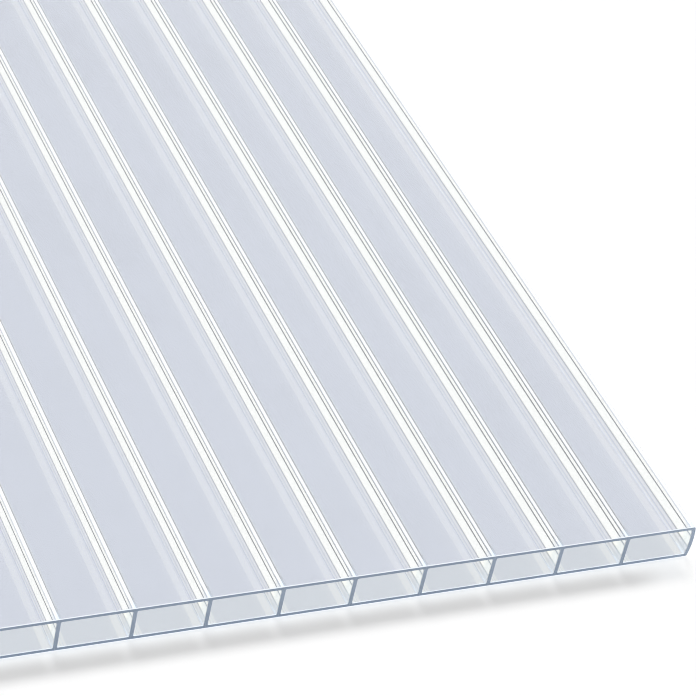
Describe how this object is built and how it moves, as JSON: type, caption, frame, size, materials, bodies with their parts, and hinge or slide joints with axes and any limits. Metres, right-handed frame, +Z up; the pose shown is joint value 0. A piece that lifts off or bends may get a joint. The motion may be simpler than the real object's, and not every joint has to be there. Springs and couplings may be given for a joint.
{
  "type": "multiwall polycarbonate sheet",
  "caption": "Clear twin-wall polycarbonate glazing sheet: two flat skins joined by upright webs into long open chambers, with swelled closed long edges and square sawn ends.",
  "frame": {"origin": "middle of the underside", "axes": "+X across the chambers, +Y along the chambers, +Z up out of the top skin"},
  "size_m": [0.98, 2, 0.016],
  "materials": {
    "clear_polycarbonate": "clear, glossy polycarbonate with a faint blue tint, darker blue grey at the sawn ends"
  },
  "bodies": {
    "root": {"twinwall_sheet": "clear_polycarbonate"}
  },
  "joints": []
}
